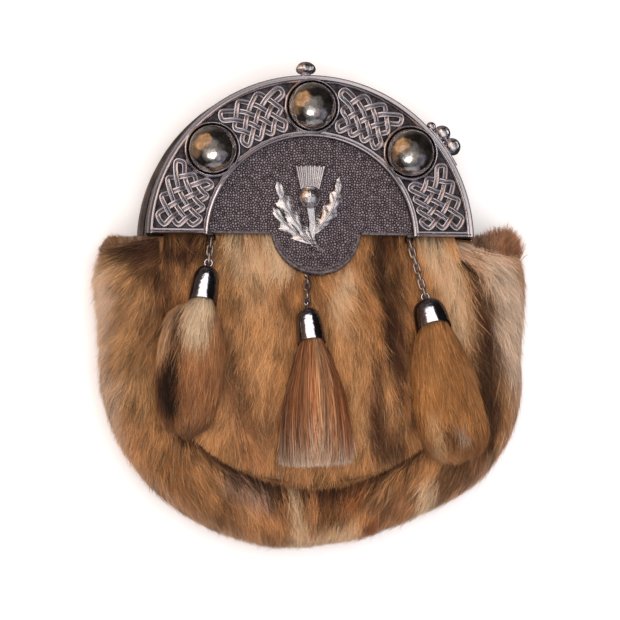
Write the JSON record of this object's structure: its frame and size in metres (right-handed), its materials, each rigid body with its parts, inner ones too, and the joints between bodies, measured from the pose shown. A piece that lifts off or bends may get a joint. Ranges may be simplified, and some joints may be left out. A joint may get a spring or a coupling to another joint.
{
  "type": "sporran pouch",
  "caption": "Fur pouch hung from an arched metal purse frame with domed bosses, a thistle badge on leather, and tassels on short chains.",
  "frame": {"origin": "on the floor under the middle of the whole pouch as it lies on its back", "axes": "+Z out of the front, +Y towards the frame's arch, +X to the right as seen from the front"},
  "size_m": [0.1974, 0.2184, 0.0557],
  "materials": {
    "chrome": "bright polished plating on cast metal, dark in the recesses",
    "dark_steel": "dull dark plating on the back half frame",
    "leather": "black pebble-grained cowhide",
    "fur": "ginger-brown pelt with dark streaks and cream patches",
    "hair": "coarse reddish-brown hair with white tips"
  },
  "bodies": {
    "root": {"cantle": "chrome", "dome_boss_left": "chrome", "dome_boss_top": "chrome", "dome_boss_right": "chrome", "frame_back": "dark_steel", "knob_top": "chrome", "clasp_side": "chrome", "leather_panel": "leather", "thistle_badge": "chrome", "back_panel": "leather", "strap_loop_left": "leather", "strap_loop_right": "leather", "front_fur": "fur", "gusset_fur": "fur", "tassel_cap_left": "chrome", "tassel_cap_centre": "chrome", "tassel_cap_right": "chrome", "chain_left": "chrome", "chain_centre": "chrome", "chain_right": "chrome", "tassel_left": "fur", "tassel_centre": "hair", "tassel_right": "fur"}
  },
  "joints": []
}
